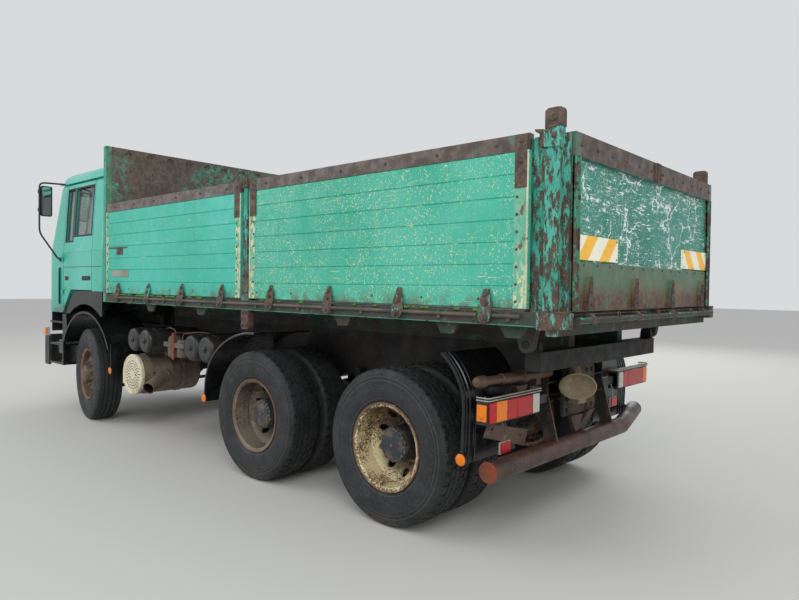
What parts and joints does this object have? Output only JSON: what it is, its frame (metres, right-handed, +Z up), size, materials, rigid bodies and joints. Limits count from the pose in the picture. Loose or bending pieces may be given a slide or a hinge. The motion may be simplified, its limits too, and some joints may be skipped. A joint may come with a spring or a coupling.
{
  "type": "three-axle tipper truck",
  "caption": "Cab-over dump truck with a day cab, drop-side tipping bed, twin rear wheels, tilting cab, opening doors and flaps, and a telescopic hoist.",
  "frame": {"origin": "on the ground, under the middle of the truck's length and width", "axes": "+X forward, +Y to the driver's left, +Z up"},
  "size_m": [7.65, 2.9588, 3.13],
  "materials": {
    "frame_black": "satin",
    "axle_grime": "rough",
    "engine_grey": "rough",
    "tank_black": "gloss",
    "silencer_steel": "rough",
    "guard_plastic": "matte",
    "bumper_paint": "satin",
    "lamp_lens": "gloss",
    "head_lens": "gloss",
    "rusty_brown": "rough",
    "coupling_iron": "rough",
    "cab_green": "gloss",
    "grille_black": "matte",
    "window_glass": "gloss",
    "seat_cloth": "matte",
    "dash_plastic": "matte",
    "steering_black": "satin",
    "mirror_black": "satin",
    "tyre_rubber": "matte",
    "rim_rust": "rough",
    "rim_cream": "rough",
    "knuckle_iron": "rough",
    "bed_steel": "rough",
    "headboard_brown": "rough",
    "post_green": "rough",
    "flap_green": "satin",
    "gate_green": "satin",
    "hoist_steel": "satin"
  },
  "bodies": {
    "chassis": {"chassis_frame": "frame_black", "subframe": "frame_black", "engine_gearbox": "engine_grey", "front_axle": "axle_grime", "leaf_springs": "axle_grime", "drive_axles": "axle_grime", "propshafts": "axle_grime", "fuel_tank": "tank_black", "battery_box": "tank_black", "exhaust": "silencer_steel", "air_tanks": "tank_black", "front_mudguards": "guard_plastic", "rear_mudguards": "guard_plastic", "front_bumper": "bumper_paint", "front_lamps": "head_lens", "tail_lamps": "lamp_lens", "underrun_bar": "rusty_brown", "tow_coupling": "coupling_iron"},
    "cab": {"cab_shell": "cab_green", "front_grille": "grille_black", "cab_glass": "window_glass", "seats": "seat_cloth", "dashboard": "dash_plastic", "steering_wheel": "steering_black", "mirror_left": "mirror_black", "mirror_right": "mirror_black", "arch_trims": "guard_plastic"},
    "door_left": {"door_left": "cab_green", "door_glass_left": "window_glass"},
    "door_right": {"door_right": "cab_green", "door_glass_right": "window_glass"},
    "knuckle_left": {"knuckle_left": "knuckle_iron"},
    "knuckle_right": {"knuckle_right": "knuckle_iron"},
    "track_rod": {"track_rod": "knuckle_iron"},
    "bed": {"bed_frame": "bed_steel", "headboard": "headboard_brown", "bed_posts": "post_green"},
    "tailgate": {"tailgate": "gate_green"},
    "hoist_barrel": {"hoist_barrel": "hoist_steel"},
    "side_flap_front_left": {"side_flap_front_left": "flap_green"},
    "side_flap_front_right": {"side_flap_front_right": "flap_green"},
    "side_flap_rear_left": {"side_flap_rear_left": "flap_green"},
    "side_flap_rear_right": {"side_flap_rear_right": "flap_green"},
    "hoist_stage_1": {"hoist_stage_1": "hoist_steel"},
    "hoist_stage_2": {"hoist_stage_2": "hoist_steel"},
    "hoist_stage_3": {"hoist_stage_3": "hoist_steel"},
    "hoist_stage_4": {"hoist_stage_4": "hoist_steel"},
    "wheel_front_left": {"tyre_front_left": "tyre_rubber", "wheel_front_left": "rim_rust"},
    "wheel_front_right": {"tyre_front_right": "tyre_rubber", "wheel_front_right": "rim_rust"},
    "wheel_middle_left": {"tyre_middle_left": "tyre_rubber", "wheel_middle_left": "rim_rust"},
    "wheel_middle_right": {"tyre_middle_right": "tyre_rubber", "wheel_middle_right": "rim_rust"},
    "wheel_rear_left": {"tyre_rear_left": "tyre_rubber", "wheel_rear_left": "rim_cream"},
    "wheel_rear_right": {"tyre_rear_right": "tyre_rubber", "wheel_rear_right": "rim_cream"}
  },
  "joints": [
    {"name": "steer_left", "type": "hinge", "parent": "chassis", "child": "knuckle_left", "pos_m": [2.435, 0.88, 0.539], "axis": [0, 0, 1], "range_deg": [-26.2, 43.8]},
    {"name": "steer_right", "type": "hinge", "parent": "chassis", "child": "knuckle_right", "pos_m": [2.435, -0.88, 0.539], "axis": [0, 0, 1], "range_deg": [-26.2, 43.8]},
    {"name": "track_rod_left_eye", "type": "hinge", "parent": "knuckle_left", "child": "track_rod", "pos_m": [2.26206, 0.90677, 0.389], "axis": [0, 0, 1], "range_deg": [-43.8, 26.2]},
    {"name": "spin_front_left", "type": "hinge", "parent": "knuckle_left", "child": "wheel_front_left", "pos_m": [2.45688, 1.02132, 0.539], "axis": [0.153, 0.9882, 0], "continuous": true},
    {"name": "spin_middle_left", "type": "hinge", "parent": "chassis", "child": "wheel_middle_left", "pos_m": [-0.935, 0.895, 0.539], "axis": [0, 1, 0], "continuous": true},
    {"name": "spin_rear_left", "type": "hinge", "parent": "chassis", "child": "wheel_rear_left", "pos_m": [-2.435, 0.895, 0.539], "axis": [0, 1, 0], "continuous": true},
    {"name": "spin_front_right", "type": "hinge", "parent": "knuckle_right", "child": "wheel_front_right", "pos_m": [2.41312, -1.02132, 0.539], "axis": [0.153, 0.9882, 0], "continuous": true},
    {"name": "spin_middle_right", "type": "hinge", "parent": "chassis", "child": "wheel_middle_right", "pos_m": [-0.935, -0.895, 0.539], "axis": [0, 1, 0], "continuous": true},
    {"name": "spin_rear_right", "type": "hinge", "parent": "chassis", "child": "wheel_rear_right", "pos_m": [-2.435, -0.895, 0.539], "axis": [0, 1, 0], "continuous": true},
    {"name": "cab_tilt", "type": "hinge", "parent": "chassis", "child": "cab", "pos_m": [3.535, 0, 1], "axis": [0, 1, 0], "range_deg": [0, 55]},
    {"name": "door_left_hinge", "type": "hinge", "parent": "cab", "child": "door_left", "pos_m": [3.01, 1.23, 2], "axis": [0, 0, -1], "range_deg": [0, 70]},
    {"name": "door_right_hinge", "type": "hinge", "parent": "cab", "child": "door_right", "pos_m": [3.01, -1.23, 2], "axis": [0, 0, 1], "range_deg": [0, 70]},
    {"name": "bed_tip", "type": "hinge", "parent": "chassis", "child": "bed", "pos_m": [-3.395, 0, 1.29], "axis": [0, -1, 0], "range_deg": [0, 45]},
    {"name": "flap_front_left_hinge", "type": "hinge", "parent": "bed", "child": "side_flap_front_left", "pos_m": [0.5, 1.262, 1.452], "axis": [-1, 0, 0], "range_deg": [0, 180]},
    {"name": "flap_front_right_hinge", "type": "hinge", "parent": "bed", "child": "side_flap_front_right", "pos_m": [0.5, -1.262, 1.452], "axis": [1, 0, 0], "range_deg": [0, 180]},
    {"name": "flap_rear_left_hinge", "type": "hinge", "parent": "bed", "child": "side_flap_rear_left", "pos_m": [-2.2, 1.262, 1.452], "axis": [-1, 0, 0], "range_deg": [0, 180]},
    {"name": "flap_rear_right_hinge", "type": "hinge", "parent": "bed", "child": "side_flap_rear_right", "pos_m": [-2.2, -1.262, 1.452], "axis": [1, 0, 0], "range_deg": [0, 180]},
    {"name": "tailgate_hinge", "type": "hinge", "parent": "bed", "child": "tailgate", "pos_m": [-3.707, 0, 2.44], "axis": [0, 1, 0], "range_deg": [0, 90]},
    {"name": "hoist_swing", "type": "hinge", "parent": "chassis", "child": "hoist_barrel", "pos_m": [-0.585, 0, 1.1], "axis": [0, -1, 0], "range_deg": [0, 21.79]},
    {"name": "hoist_extend_1", "type": "slide", "parent": "hoist_barrel", "child": "hoist_stage_1", "axis": [0, 0, 1], "range_m": [0, 0.53221]},
    {"name": "hoist_extend_2", "type": "slide", "parent": "hoist_stage_1", "child": "hoist_stage_2", "axis": [0, 0, 1], "range_m": [0, 0.53221]},
    {"name": "hoist_extend_3", "type": "slide", "parent": "hoist_stage_2", "child": "hoist_stage_3", "axis": [0, 0, 1], "range_m": [0, 0.53221]},
    {"name": "hoist_extend_4", "type": "slide", "parent": "hoist_stage_3", "child": "hoist_stage_4", "axis": [0, 0, 1], "range_m": [0, 0.53221]}
  ],
  "couplings": [
    {"joint": "steer_right", "follows": "steer_left", "ratio": 1},
    {"joint": "track_rod_left_eye", "follows": "steer_left", "ratio": -1},
    {"joint": "hoist_swing", "follows": "bed_tip", "ratio": 0.48395},
    {"joint": "hoist_extend_1", "follows": "bed_tip", "m_per_rad": 0.67737},
    {"joint": "hoist_extend_2", "follows": "bed_tip", "m_per_rad": 0.67737},
    {"joint": "hoist_extend_3", "follows": "bed_tip", "m_per_rad": 0.67737},
    {"joint": "hoist_extend_4", "follows": "bed_tip", "m_per_rad": 0.67737}
  ]
}
